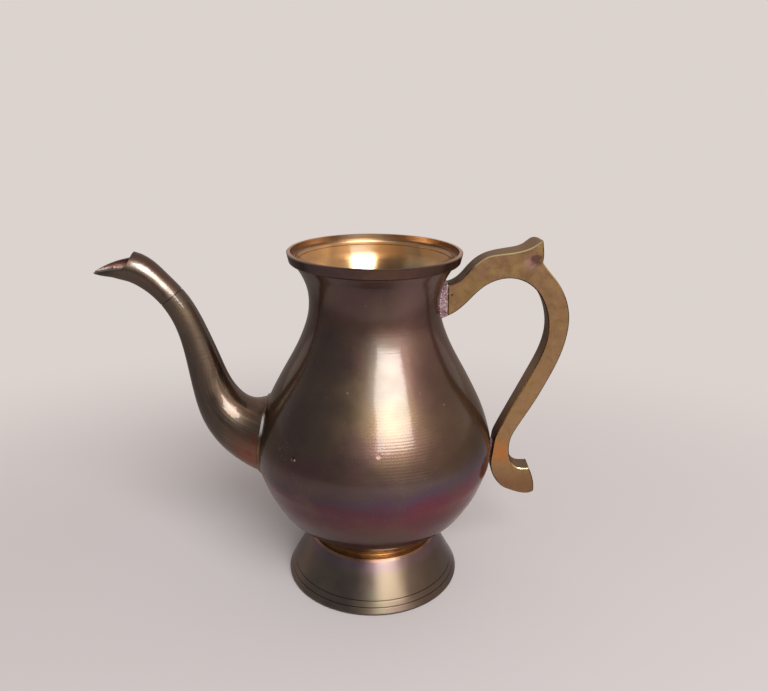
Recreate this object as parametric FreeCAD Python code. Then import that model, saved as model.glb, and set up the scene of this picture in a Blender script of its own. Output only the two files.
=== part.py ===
import FreeCAD, Part
import math
import os

# Small footed brass pouring pot with a swan-neck spout and a flat cast handle.
# All lengths are in millimetres. Z is up, the table is z = 0 and the turned parts
# share the Z axis. The spout points along -X and the handle along +X.

# Foot: a flared skirt, open underneath, with a flat turned top
FOOT_HEIGHT = 17.9
FOOT_RADIUS = 33.6
FOOT_TOP_WIDTH = 6.3
FOOT_WALL = 1.7
FOOT_EDGE = 0.9
FOOT_EDGE_BREAK = 0.4
FOOT_TOP_BREAK = 0.4
FOOT_LAND = 3.1
FOOT_RECESS_DEPTH = 2.4
FOOT_SEAT_LAP = 3.1
FOOT_BRAZE_HOLLOW = 2.4
FOOT_BRAZE_TOE = 0.1
LINE_WIDTH = 0.5
LINE_DEPTH = 0.3
LOW_LINE_HEIGHT = 2.9
HIGH_LINE_HEIGHT = 5.0

# Belly and neck: two thin shells turned about the Z axis, stacked on the foot
BOWL_DIP = 2.6
BOWL_DEPTH = 40.6
BELLY_RADIUS = 44.7
SHOULDER_RISE = 55.9
NECK_RADIUS = 23.7
BODY_WALL = 1.2
SEAM_LAP = 3.0
SEAM_FILL = 0.5
JOINT_CLEARANCE = 0.05

# Flare above the neck, and the rim band round the mouth
FLARE_RISE = 14.5
FLARE_SPREAD = 5.2
MOUTH_LIP = 1.0
RIM_BAND = 3.7
RIM_WALL = 1.3
RIM_TAPER = 0.7
RIM_EDGE_BREAK = 0.3
LID_SEAT_LEDGE = 1.0
LID_SEAT_DEPTH = 2.3

# Spout: a tapering tube in two lengths, with an oblique cut for its mouth
SPOUT_REACH = 55.9
SPOUT_RISE = 72.2
SPOUT_ROOT_RADIUS = 14.0
SPOUT_THROAT_RADIUS = 4.85
SPOUT_WALL = 1.1
SPOUT_LINE_WIDTH = 0.3
SPOUT_LINE_DEPTH = 0.25
SPIGOT_LENGTH = 2.0
POUR_HOLE_RADIUS = 5.0
POUR_HOLE_ABOVE_SEAM = 7.8
ROOT_BRAZE = 0.7

# Handle: a flat bar on edge, bowed out, with a thumb rest and a curled foot
HANDLE_THICKNESS = 8.0
HANDLE_BOW = 41.3
HANDLE_EDGE_BREAK = 0.35
NECK_JOINT_GAP = 2.35
NECK_JOINT_RISE = 1.1
BELLY_JOINT_GAP = 0.6
BELLY_JOINT_DROP = 4.0
NECK_BRAZE_INSET = 0.3
BELLY_BRAZE_HEIGHT = 9.0
BELLY_BRAZE_INSET = 2.4

# One overrun serves every cut
OVERRUN = 5.0

# Outline of the bowl, from its middle underneath to its widest circle:
# share of BELLY_RADIUS, share of BOWL_DEPTH
BOWL_SHARES = [
    (0.0, 0.0),
    (0.22, 0.019),
    (0.436, 0.078),
    (0.582, 0.180),
    (0.684, 0.268),
    (0.789, 0.376),
    (0.855, 0.488),
    (0.917, 0.616),
    (0.971, 0.776),
    (1.0, 1.0),
]

# Outline of the shoulder, from the widest circle to the narrowest of the neck:
# share from NECK_RADIUS to BELLY_RADIUS, share of SHOULDER_RISE
SHOULDER_SHARES = [
    (1.0, 0.0),
    (0.953, 0.116),
    (0.829, 0.256),
    (0.654, 0.395),
    (0.454, 0.535),
    (0.252, 0.674),
    (0.093, 0.814),
    (0.012, 0.930),
    (0.0, 1.0),
]

# Outline of the flare above the neck: share of FLARE_SPREAD, share of FLARE_RISE
FLARE_SHARES = [
    (0.155, 0.403),
    (0.46, 0.672),
    (1.0, 1.0),
]

# Outline of the foot's skirt: share from the radius of its flat top to
# FOOT_RADIUS, share of FOOT_HEIGHT
SKIRT_SHARES = [
    (0.48, 0.54),
    (0.0, 1.0),
]

# Centre line of the spout, from inside the belly to the tip: share of SPOUT_REACH
# out from the widest circle, share of SPOUT_RISE up from that circle, share from
# SPOUT_THROAT_RADIUS to SPOUT_ROOT_RADIUS for the half height, the breadth as a
# share of the height, and the wall as a share of SPOUT_WALL
SPOUT_SHARES = [
    (-0.220, 0.018, 1.339, 1.0, 1.0),
    (-0.036, 0.040, 1.049, 1.0, 1.0),
    (0.109, 0.086, 0.726, 1.0, 1.0),
    (0.215, 0.172, 0.490, 1.0, 1.0),
    (0.284, 0.289, 0.292, 1.0, 1.0),
    (0.336, 0.439, 0.150, 1.0, 1.0),
    (0.395, 0.598, 0.038, 1.0, 1.0),
    (0.478, 0.738, 0.0, 1.0, 1.0),
    (0.598, 0.848, 0.002, 1.0, 1.0),
    (0.746, 0.927, 0.070, 1.0, 1.0),
    (0.785, 0.933, 0.060, 1.01, 1.0),
    (0.837, 0.933, 0.0, 1.05, 1.0),
    (0.887, 0.929, -0.093, 1.07, 0.9),
    (0.937, 0.920, -0.191, 1.05, 0.8),
    (0.977, 0.910, -0.311, 1.0, 0.7),
    (0.998, 0.904, -0.399, 1.0, 0.6),
]

# Where the two lengths of the spout meet, counted along the stations above
SPOUT_JOINT_SHARE = 0.489

# The cut of the spout's mouth, seen from the side, and how far it leans over:
# share of SPOUT_REACH, share of SPOUT_RISE
MOUTH_LEAN = 10.0
MOUTH_SHARES = [
    (0.715, 1.025),
    (0.739, 0.990),
    (0.762, 0.959),
    (0.790, 0.948),
    (0.835, 0.940),
    (0.900, 0.928),
    (0.960, 0.912),
    (1.060, 0.881),
]

# Handle outline in runs, each from where the one before it ends: share of
# HANDLE_BOW out from the straight line between its two joints, share of the
# height from the belly joint to the neck joint
ARM_TOP_SHARES = [
    (0.042, 1.086),
    (0.162, 1.120),
    (0.262, 1.176),
    (0.365, 1.227),
    (0.447, 1.257),
    (0.548, 1.272),
    (0.748, 1.293),
    (0.854, 1.318),
    (0.918, 1.343),
    (0.953, 1.356),
]

# The same run on the far side of the bar, where the thumb rest is fuller and its
# corner is rounded off
FAR_ARM_TOP_SHARES = [
    (0.042, 1.086),
    (0.160, 1.124),
    (0.262, 1.183),
    (0.365, 1.234),
    (0.447, 1.260),
    (0.550, 1.279),
    (0.670, 1.293),
    (0.760, 1.307),
    (0.805, 1.321),
    (0.850, 1.341),
    (0.885, 1.353),
    (0.925, 1.354),
    (0.955, 1.343),
]
THUMB_SHARES = [
    (0.942, 1.308),
    (0.925, 1.260),
    (0.906, 1.229),
]
BACK_SHARES = [
    (0.940, 1.181),
    (0.987, 1.124),
    (1.030, 1.022),
    (1.020, 0.901),
    (0.960, 0.785),
    (0.850, 0.650),
    (0.700, 0.508),
    (0.530, 0.362),
    (0.301, 0.182),
    (0.221, 0.110),
    (0.177, 0.042),
    (0.162, -0.030),
]
CURL_TOP_SHARES = [
    (0.170, -0.068),
    (0.195, -0.090),
    (0.235, -0.098),
    (0.311, -0.097),
]
CURL_BACK_SHARES = [
    (0.320, -0.140),
    (0.316, -0.205),
    (0.296, -0.259),
]
INNER_SHARES = [
    (0.262, -0.272),
    (0.203, -0.277),
    (0.082, -0.256),
    (0.012, -0.230),
    (-0.031, -0.184),
    (-0.048, -0.131),
    (-0.041, -0.077),
    (-0.013, -0.023),
    (0.030, 0.045),
    (0.068, 0.105),
    (0.127, 0.164),
    (0.311, 0.325),
    (0.557, 0.539),
    (0.703, 0.674),
    (0.800, 0.800),
    (0.837, 0.940),
    (0.803, 1.052),
    (0.720, 1.111),
    (0.600, 1.133),
    (0.470, 1.119),
    (0.354, 1.084),
    (0.168, 0.989),
    (0.076, 0.943),
    (-0.039, 0.903),
]

# Where the solder between arm and neck ends, inside the neck: above and below
NECK_BRAZE_SHARES = [
    (-0.120, 1.068),
    (-0.200, 0.860),
]

# An edge counts as lying on the side of the bar past this share of its thickness
SIDE_SHARE = 0.49


def vec(x, y, z):
    return FreeCAD.Vector(x, y, z)


def blend(low, high, share):
    return low + (high - low) * share


def spline(points, start=None, end=None):
    """Smooth curve through the points, with given end directions if any."""
    curve = Part.BSplineCurve()
    if start is None:
        curve.interpolate(points)
    else:
        curve.interpolate(Points=points, InitialTangent=start, FinalTangent=end)
    return curve


def offset_points(curve, depth, count=24):
    """Points at a constant depth to the left of the curve's run, in the XZ plane."""
    points = []
    first, last = curve.FirstParameter, curve.LastParameter
    for i in range(count + 1):
        at = blend(first, last, i / count)
        run = curve.tangent(at)[0]
        inward = vec(-run.z, 0, run.x)
        points.append(curve.value(at) + inward * depth)
    return points


def turned(edges):
    """Solid of revolution about Z from a closed chain of edges in the XZ plane."""
    face = Part.Face(Part.Wire(edges))
    return face.revolve(vec(0, 0, 0), vec(0, 0, 1), 360)


def line(a, b):
    return Part.LineSegment(a, b).toShape()


def turned_polygon(points):
    """Solid of revolution of a polygon given as radius and height pairs."""
    corners = [vec(r, 0, z) for r, z in points]
    edges = [line(a, b) for a, b in zip(corners, corners[1:] + corners[:1])]
    return turned(edges)


def turned_fill(curve, top, tail=0.0):
    """Solid between the axis and a curve that starts low; a tail extends its end."""
    low, high = curve.value(curve.FirstParameter), curve.value(curve.LastParameter)
    edges = [curve.toShape()]
    if tail:
        tip = high + curve.tangent(curve.LastParameter)[0] * tail
        edges.append(line(high, tip))
        high = tip
    edges.append(line(high, vec(0, 0, high.z)))
    edges.append(line(vec(0, 0, high.z), vec(0, 0, low.z)))
    if low.x > OVERRUN:
        edges.append(line(vec(0, 0, low.z), low))
    solid = turned(edges)
    if top is not None and high.z > top:
        solid = solid.cut(Part.makeCylinder(high.x + OVERRUN, high.z - top + OVERRUN, vec(0, 0, top)))
    return solid


def cylinder(radius, low, high):
    return Part.makeCylinder(radius, high - low, vec(0, 0, low))


# Heights and radii that follow from the lengths above
BOWL_UNDERSIDE = FOOT_HEIGHT - BOWL_DIP
BELLY_HEIGHT = BOWL_UNDERSIDE + BOWL_DEPTH
NECK_HEIGHT = BELLY_HEIGHT + SHOULDER_RISE
BAND_UNDERSIDE = NECK_HEIGHT + FLARE_RISE
LIP_TOP = BAND_UNDERSIDE + MOUTH_LIP
RIM_TOP = BAND_UNDERSIDE + RIM_BAND
SEAT_LEVEL = RIM_TOP - LID_SEAT_DEPTH
MOUTH_RADIUS = NECK_RADIUS + FLARE_SPREAD
LID_SEAT_RADIUS = MOUTH_RADIUS + LID_SEAT_LEDGE
RIM_RADIUS = LID_SEAT_RADIUS + RIM_WALL
FOOT_RECESS_RADIUS = FOOT_RADIUS - FOOT_LAND


def bowl_curve():
    points = []
    for radius_share, height_share in BOWL_SHARES:
        height = blend(BOWL_UNDERSIDE, BELLY_HEIGHT, height_share)
        points.append(vec(BELLY_RADIUS * radius_share, 0, height))
    return spline(points, vec(1, 0, 0), vec(0, 0, 1))


def outline_spot(curve, a, b):
    """Where an outline crosses the straight line between two points."""
    spot = curve.intersect(Part.LineSegment(a, b))[0]
    return vec(spot.X, spot.Y, spot.Z)


def seat_radius():
    """Radius at which the bowl passes the foot's flat top."""
    return outline_spot(bowl_curve(), vec(0, 0, FOOT_HEIGHT), vec(BELLY_RADIUS, 0, FOOT_HEIGHT)).x


def foot_top_radius():
    """Radius of the foot's flat top, which stands out round the bowl's seat."""
    return seat_radius() + FOOT_TOP_WIDTH


def shoulder_curve():
    points = []
    for radius_share, height_share in SHOULDER_SHARES:
        height = blend(BELLY_HEIGHT, NECK_HEIGHT, height_share)
        points.append(vec(blend(NECK_RADIUS, BELLY_RADIUS, radius_share), 0, height))
    for radius_share, height_share in FLARE_SHARES:
        height = blend(NECK_HEIGHT, BAND_UNDERSIDE, height_share)
        points.append(vec(blend(NECK_RADIUS, MOUTH_RADIUS, radius_share), 0, height))
    mouth_run = points[-1] - points[-2]
    flare_run = vec(mouth_run.x, 0, mouth_run.z)
    flare_run.normalize()
    return spline(points, vec(0, 0, 1), flare_run)


def body_fill(swell=0.0):
    """The belly and neck as one filled solid, grown outwards by swell."""
    bowl = bowl_curve()
    shoulder = shoulder_curve()
    if swell:
        bowl = spline(offset_points(bowl, -swell), vec(1, 0, 0), vec(0, 0, 1))
        shoulder = spline(offset_points(shoulder, -swell))
    return turned_fill(bowl, None).fuse(turned_fill(shoulder, None))


def neck_bore():
    """The space inside the shoulder and neck, carried on up through the lid seat."""
    inner = spline(offset_points(shoulder_curve(), BODY_WALL))
    return turned_fill(inner, RIM_TOP, OVERRUN)


def lap_ring(clearance):
    """The ring of the seam's lap, which the upper shell fills and the bowl leaves."""
    outer = BELLY_RADIUS - BODY_WALL / 2 + clearance
    return cylinder(outer, BELLY_HEIGHT - SEAM_LAP, BELLY_HEIGHT).cut(
        cylinder(BELLY_RADIUS - BODY_WALL, BELLY_HEIGHT - SEAM_LAP, BELLY_HEIGHT))


def body_upper_shell():
    shell = turned_fill(shoulder_curve(), None)
    shell = shell.fuse(cylinder(MOUTH_RADIUS, BAND_UNDERSIDE - MOUTH_LIP / 2, LIP_TOP).cut(
        cylinder(MOUTH_RADIUS - BODY_WALL, BAND_UNDERSIDE - MOUTH_LIP, LIP_TOP)))
    shell = shell.cut(neck_bore())
    shell = shell.fuse(lap_ring(0.0))
    hole = Part.makeCylinder(POUR_HOLE_RADIUS, BELLY_RADIUS + OVERRUN,
                             vec(0, 0, BELLY_HEIGHT + POUR_HOLE_ABOVE_SEAM), vec(-1, 0, 0))
    return shell.cut(hole).removeSplitter()


def body_lower_bowl():
    outer = turned_fill(bowl_curve(), None)
    inner_run = spline(offset_points(bowl_curve(), BODY_WALL), vec(1, 0, 0), vec(0, 0, 1))
    bowl = outer.cut(turned_fill(inner_run, None))
    relief = cylinder(BELLY_RADIUS - BODY_WALL / 2 + JOINT_CLEARANCE,
                      BELLY_HEIGHT - SEAM_LAP - SEAM_FILL, BELLY_HEIGHT + OVERRUN)
    return bowl.cut(relief)


def body_seam_braze():
    """Brazing metal run into the step under the seam's lap."""
    low = BELLY_HEIGHT - SEAM_LAP - SEAM_FILL
    high = BELLY_HEIGHT - SEAM_LAP
    outer = BELLY_RADIUS - BODY_WALL / 2 + JOINT_CLEARANCE
    return cylinder(outer, low, high).cut(cylinder(BELLY_RADIUS - BODY_WALL, low, high))


def rim_ring():
    low_radius = RIM_RADIUS - RIM_TAPER
    blank = turned_polygon([
        (0, BAND_UNDERSIDE),
        (low_radius - RIM_EDGE_BREAK, BAND_UNDERSIDE),
        (low_radius, BAND_UNDERSIDE + RIM_EDGE_BREAK),
        (RIM_RADIUS, RIM_TOP - RIM_EDGE_BREAK),
        (RIM_RADIUS - RIM_EDGE_BREAK, RIM_TOP),
        (0, RIM_TOP),
    ])
    seat = cylinder(LID_SEAT_RADIUS, SEAT_LEVEL, RIM_TOP + OVERRUN)
    socket = cylinder(MOUTH_RADIUS + JOINT_CLEARANCE, BAND_UNDERSIDE - OVERRUN, LIP_TOP)
    return blank.cut(seat).cut(socket).cut(neck_bore())


def skirt_curve():
    points = [vec(FOOT_RADIUS, 0, FOOT_EDGE)]
    for radius_share, height_share in SKIRT_SHARES:
        radius = blend(foot_top_radius(), FOOT_RADIUS, radius_share)
        points.append(vec(radius, 0, FOOT_HEIGHT * height_share))
    return spline(points)


def line_cut(at, run):
    """Ring with a V section, point inwards, centred at a spot on the outline."""
    inward = vec(-run.z, 0, run.x)
    side = run * (LINE_WIDTH / 2)
    a = at + side - inward * LINE_DEPTH
    b = at + inward * LINE_DEPTH
    c = at - side - inward * LINE_DEPTH
    return turned_polygon([(p.x, p.z) for p in (a, b, c)])


def foot_skirt():
    skirt = skirt_curve()
    foot = turned_fill(skirt, None)
    foot = foot.fuse(turned_polygon([
        (0, 0),
        (FOOT_RADIUS - FOOT_EDGE_BREAK, 0),
        (FOOT_RADIUS, FOOT_EDGE_BREAK),
        (FOOT_RADIUS, FOOT_EDGE),
        (0, FOOT_EDGE),
    ]))
    hollow = turned_fill(spline(offset_points(skirt, FOOT_WALL)), FOOT_HEIGHT - FOOT_WALL)
    hollow = hollow.cut(cylinder(FOOT_RADIUS, 0, FOOT_RECESS_DEPTH))
    foot = foot.cut(hollow)
    foot = foot.cut(cylinder(FOOT_RECESS_RADIUS, -OVERRUN, FOOT_RECESS_DEPTH))
    foot = foot.cut(cylinder(seat_radius() - FOOT_SEAT_LAP, 0, FOOT_HEIGHT + OVERRUN))
    foot = foot.cut(turned_fill(bowl_curve(), None))
    for height in (LOW_LINE_HEIGHT, HIGH_LINE_HEIGHT):
        spot = outline_spot(skirt, vec(0, 0, height), vec(FOOT_RADIUS + OVERRUN, 0, height))
        foot = foot.cut(line_cut(spot, skirt.tangent(skirt.parameter(spot))[0]))
    top_radius = foot_top_radius()
    corner = turned_polygon([
        (top_radius - FOOT_TOP_BREAK, FOOT_HEIGHT),
        (top_radius + FOOT_TOP_BREAK, FOOT_HEIGHT),
        (top_radius + FOOT_TOP_BREAK, FOOT_HEIGHT - 2 * FOOT_TOP_BREAK),
    ])
    return foot.cut(corner).removeSplitter()


def foot_braze():
    """Brazing metal in the wedge between the bowl and the foot's flat top, with a hollow face."""
    radius = foot_top_radius()
    middle = FOOT_HEIGHT + FOOT_BRAZE_HOLLOW - FOOT_BRAZE_TOE
    ring = cylinder(radius, FOOT_HEIGHT, middle).cut(turned_fill(bowl_curve(), None))
    return ring.cut(Part.makeTorus(radius, FOOT_BRAZE_HOLLOW, vec(0, 0, middle)))


def spout_spot(reach_share, rise_share):
    x = -(BELLY_RADIUS + SPOUT_REACH * reach_share)
    return vec(x, 0, BELLY_HEIGHT + SPOUT_RISE * rise_share)


def spout_line():
    points = [spout_spot(shares[0], shares[1]) for shares in SPOUT_SHARES]
    return points, spline(points)


def spout_section(centre, run, half_height, half_breadth, spots=12):
    """Closed oval section square to the spout's run."""
    rise = vec(run.z, 0, -run.x)
    points = []
    for i in range(spots):
        turn = 2 * math.pi * i / spots
        points.append(centre + rise * (half_height * math.cos(turn))
                      + vec(0, half_breadth * math.sin(turn), 0))
    loop = Part.BSplineCurve()
    loop.interpolate(Points=points, PeriodicFlag=True)
    return Part.Wire(loop.toShape())


def spout_blank(grow=0.0, walls=0):
    """The whole spout, filled; grow adds to its radius and walls takes walls off."""
    points, path = spout_line()
    sections = []
    for point, (_, _, swell_share, breadth_share, wall_share) in zip(points, SPOUT_SHARES):
        radius = blend(SPOUT_THROAT_RADIUS, SPOUT_ROOT_RADIUS, swell_share)
        more = grow - walls * SPOUT_WALL * wall_share
        run = path.tangent(path.parameter(point))[0]
        sections.append(spout_section(point, run, radius + more, radius * breadth_share + more))
    return Part.makeLoft(sections, True, False)


def spout_joint():
    """Centre and direction of the joint between the spout's two lengths."""
    points, path = spout_line()
    station = SPOUT_JOINT_SHARE * (len(points) - 1)
    before = int(station)
    at = blend(path.parameter(points[before]), path.parameter(points[before + 1]), station - before)
    return path.value(at), path.tangent(at)[0]


def half_space(centre, run):
    """A big block that starts at a plane and fills what lies along its run."""
    size = SPOUT_REACH + SPOUT_RISE
    block = Part.makeBox(2 * size, 2 * size, size, vec(-size, -size, 0))
    block.Placement = FreeCAD.Placement(centre, FreeCAD.Rotation(vec(0, 0, 1), run))
    return block


def mouth_cut():
    """What is cut away above the slanting mouth of the spout."""
    points = [spout_spot(*share) for share in MOUTH_SHARES]
    back, tip = points[0], points[-1]
    high = vec(tip.x, 0, back.z + SPOUT_ROOT_RADIUS)
    roof = vec(back.x, 0, high.z)
    edges = [spline(points).toShape(), line(tip, high), line(high, roof), line(roof, back)]
    wall = Part.Face(Part.Wire(edges))
    wall.translate(vec(0, -SPOUT_ROOT_RADIUS, 0))
    block = wall.extrude(vec(0, 2 * SPOUT_ROOT_RADIUS, 0))
    block.rotate(spout_spot(*MOUTH_SHARES[len(MOUTH_SHARES) // 2]), vec(1, 0, 0), MOUTH_LEAN)
    return block


def spigot(radius, start, length, centre, run):
    return Part.makeCylinder(radius, length, centre - run * start, run)


def spout_joint_line():
    """Fine groove round the spout where its two lengths meet."""
    centre, run = spout_joint()
    half = run * (SPOUT_LINE_WIDTH / 2)
    slab = half_space(centre - half, run).cut(half_space(centre + half, run))
    return slab.cut(spout_blank(-SPOUT_LINE_DEPTH))


def spout_lower_tube():
    centre, run = spout_joint()
    tube = spout_blank().cut(spout_blank(0.0, 1))
    tube = tube.cut(half_space(centre, run)).cut(body_fill())
    socket_radius = SPOUT_THROAT_RADIUS - SPOUT_WALL / 2 + JOINT_CLEARANCE
    socket_depth = SPIGOT_LENGTH + JOINT_CLEARANCE
    socket = spigot(socket_radius, socket_depth, socket_depth + OVERRUN, centre, run)
    return tube.cut(socket).cut(spout_joint_line())


def spout_beak():
    centre, run = spout_joint()
    beak = spout_blank().common(half_space(centre, run))
    plug = spigot(SPOUT_THROAT_RADIUS - SPOUT_WALL / 2, SPIGOT_LENGTH, 2 * SPIGOT_LENGTH, centre, run)
    beak = beak.fuse(plug).cut(spout_blank(0.0, 1)).cut(mouth_cut())
    return beak.cut(spout_joint_line())


def spout_root_braze():
    """Thin fillet of brazing metal round the foot of the spout."""
    ring = spout_blank(ROOT_BRAZE).common(body_fill(ROOT_BRAZE))
    return ring.cut(spout_blank()).cut(body_fill())


def handle_joints():
    """Middle of the neck joint and of the belly joint, at the handle's side."""
    neck = vec(NECK_RADIUS + NECK_JOINT_GAP, 0, NECK_HEIGHT + NECK_JOINT_RISE)
    belly = vec(BELLY_RADIUS + BELLY_JOINT_GAP, 0, BELLY_HEIGHT - BELLY_JOINT_DROP)
    return neck, belly


def handle_spot(share):
    neck, belly = handle_joints()
    chord = belly + (neck - belly) * share[1]
    return vec(chord.x + HANDLE_BOW * share[0], 0, chord.z)


def handle_outline(arm_top):
    """Closed outline of one side of the bar, which starts with its arm's top."""
    end = handle_spot(arm_top[0])
    edges = []
    for shares in (arm_top[1:], THUMB_SHARES, BACK_SHARES, CURL_TOP_SHARES, CURL_BACK_SHARES,
                   INNER_SHARES):
        points = [end] + [handle_spot(share) for share in shares]
        edges.append(spline(points).toShape())
        end = points[-1]
    edges.append(line(end, handle_spot(arm_top[0])))
    return Part.Wire(edges)


def handle_bar():
    near, far = handle_outline(ARM_TOP_SHARES), handle_outline(FAR_ARM_TOP_SHARES)
    near.translate(vec(0, -HANDLE_THICKNESS / 2, 0))
    far.translate(vec(0, HANDLE_THICKNESS / 2, 0))
    return Part.makeLoft([near, far], True, True)


def handle():
    bar = handle_bar()
    sides = [e for e in bar.Edges if abs(e.CenterOfMass.y) > HANDLE_THICKNESS * SIDE_SHARE]
    return bar.makeChamfer(HANDLE_EDGE_BREAK, sides)


def handle_neck_braze():
    """Solder between the neck and the squared end of the arm."""
    breadth = HANDLE_THICKNESS - 2 * NECK_BRAZE_INSET
    high, low = [handle_spot(share) for share in NECK_BRAZE_SHARES]
    corners = [handle_spot(ARM_TOP_SHARES[0]), high, low, handle_spot(INNER_SHARES[-1])]
    edges = [line(a, b) for a, b in zip(corners, corners[1:] + corners[:1])]
    face = Part.Face(Part.Wire(edges))
    face.translate(vec(0, -breadth / 2, 0))
    return face.extrude(vec(0, breadth, 0)).cut(body_fill()).cut(handle_bar())


def handle_belly_braze():
    """Web of brazing metal where the bar touches the belly."""
    belly = handle_joints()[1]
    breadth = HANDLE_THICKNESS - 2 * BELLY_BRAZE_INSET
    web = Part.makeBox(BELLY_RADIUS / 2, breadth, BELLY_BRAZE_HEIGHT,
                       vec(BELLY_RADIUS / 2 + 2 * BELLY_JOINT_GAP, -breadth / 2,
                           belly.z - BELLY_BRAZE_HEIGHT / 2))
    return web.cut(body_fill()).cut(handle_bar())


NODES = {
    "rim_ring": rim_ring,
    "body_upper_shell": body_upper_shell,
    "body_lower_bowl": body_lower_bowl,
    "body_seam_braze": body_seam_braze,
    "foot_skirt": foot_skirt,
    "foot_braze": foot_braze,
    "spout_lower_tube": spout_lower_tube,
    "spout_beak": spout_beak,
    "spout_root_braze": spout_root_braze,
    "handle": handle,
    "handle_neck_braze": handle_neck_braze,
    "handle_belly_braze": handle_belly_braze,
}

os.makedirs("parts", exist_ok=True)
for name, make in NODES.items():
    shape = make()
    shape.exportStep("parts/" + name + ".step")
    box = shape.BoundBox
    print(name, "solids", len(shape.Solids), "valid", shape.isValid(), "volume", round(shape.Volume, 1),
          "box", [round(v, 2) for v in (box.XMin, box.YMin, box.ZMin, box.XMax, box.YMax, box.ZMax)])
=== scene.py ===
"""Looks of a small footed brass pouring pot: its finishes, solder, floor, light and camera."""
import math
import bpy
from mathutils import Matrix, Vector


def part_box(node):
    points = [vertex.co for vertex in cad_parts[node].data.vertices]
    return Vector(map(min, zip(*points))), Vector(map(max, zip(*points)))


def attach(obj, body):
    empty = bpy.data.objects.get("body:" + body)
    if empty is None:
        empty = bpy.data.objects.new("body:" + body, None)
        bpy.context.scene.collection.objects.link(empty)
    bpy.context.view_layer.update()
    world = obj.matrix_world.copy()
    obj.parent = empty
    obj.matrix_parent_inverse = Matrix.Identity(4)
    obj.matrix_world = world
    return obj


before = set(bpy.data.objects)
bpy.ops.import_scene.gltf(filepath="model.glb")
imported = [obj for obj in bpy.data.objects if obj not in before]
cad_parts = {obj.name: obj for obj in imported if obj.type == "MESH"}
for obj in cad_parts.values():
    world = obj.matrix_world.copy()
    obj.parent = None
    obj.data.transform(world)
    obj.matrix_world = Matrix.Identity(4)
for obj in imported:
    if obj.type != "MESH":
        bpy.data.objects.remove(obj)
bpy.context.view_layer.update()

from types import SimpleNamespace

import bmesh
import bpy
from mathutils import Matrix, Vector

MM = 0.001

# Camera, found from the circles of the rim, the widest circle and the foot
PHOTO_WIDTH = 768
FOCAL_PIXELS = 734.4
SENSOR_WIDTH = 36.0
CAMERA_PLACE = Vector((3.6, -256.6, 183.4)) * MM
CAMERA_PITCH = math.radians(19.18)
CAMERA_ROLL = math.radians(0.608)

# Heights and places that the finishes follow, from the solids themselves
SEAM_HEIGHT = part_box("body_lower_bowl")[1].z
FOOT_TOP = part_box("foot_skirt")[1].z
RIM_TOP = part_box("rim_ring")[1].z
SPOUT_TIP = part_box("spout_beak")[0].x
HANDLE_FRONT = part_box("handle")[0].y

# Heights between which the shoulder turns into the neck
NECK = (88 * MM, 102 * MM)

# Centre that the spout's first bend turns about, how far apart the file strokes along it are,
# and the lean of the length above it
SPOUT_BEND = Vector((-41.0, 0.0, 84.0)) * MM
STROKE_PITCH = 1.1 * MM
SPOUT_LEAN = math.radians(20)
# Way the spout runs at its hairline joint, how far along that way the joint is, and its width
SPOUT_RUN = (-0.6211, 0.0, 0.7838)
JOINT_ALONG = 133.38 * MM
JOINT_WIDTH = 0.3 * MM

# Colour of the patina by height in mm above the seam: dull brown low on the bowl, then the
# colours that heat left on the brass, and the shoulder's bronze up to a purple neck
PATINA_BY_HEIGHT = (
    (-41, "#4a3930"),
    (-29, "#52352f"),
    (-17, "#673439"),
    (-9, "#76303e"),
    (-4.5, "#663547"),
    (-1.2, "#574153"),
    (2.0, "#5d4b4a"),
    (9, "#604c3c"),
    (18, "#66523f"),
    (30, "#63503f"),
    (46, "#5d473c"),
    (60, "#513836"),
    (75, "#573f38"),
)
# How much higher the heat reached on the handle's side, as a share of the way across, and how
# far its colours waver up and down, in patches of what size in mm
HEAT_TILT = 0.06
HEAT_WAVER = 2.2 * MM
HEAT_WAVER_SIZE = 30

# The lathe's lines and ripple on the body: their pitch in mm, and the slope of the wall
LINE_PITCH = 0.9
RIPPLE_PITCH = 1.25
WALL_SLOPE = 0.7

# Small pits in the body's wall: place in mm, and size
BODY_PITS = (
    ((-27.3, -33.5, 64.2), 0.9),
    ((2.3, -41.2, 69.8), 1.1),
    ((-8.2, -30.9, 88.0), 0.55),
    ((24.3, -25.7, 81.8), 0.5),
    ((-29.5, -24.0, 77.0), 0.4),
)

# Other marks, and the places of painted highlights and painted shade, as places in mm
OLIVE_STAIN = (14.4, -20.9, 102.1)
SCRATCHES = (-30.5, -29.8, 65.9)
DARK_PIT = (-27.0, -33.9, 64.9)
PALE_FLECK = (-26.4, -34.2, 64.4)
RIM_HIGHLIGHT_SPOT = (-3, 31, 128)
SHADED_SPOUT_TIP = (-97, -2, 122)
ROOT_HIGHLIGHT_SPOT = (-42.6, -11.2, 66.6)
HANDLE_FACE = HANDLE_FRONT / MM
ORANGE_STAIN = (49, HANDLE_FACE, 53)
PINK_STAIN = (54.8, HANDLE_FACE, 126.4)
BROWN_STAIN = (56.4, HANDLE_FACE, 128.0)
DARK_DOT = (27.6, HANDLE_FACE, 114.8)

# Tone that the room and the far floor show behind the pot
BACKDROP = "#dcd3cf"


def hex_colour(code):
    """Linear colour of an sRGB hex value."""
    linear = []
    for start in (1, 3, 5):
        level = int(code[start:start + 2], 16) / 255
        linear.append(level / 12.92 if level <= 0.04045 else ((level + 0.055) / 1.055) ** 2.4)
    return (*linear, 1.0)


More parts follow.
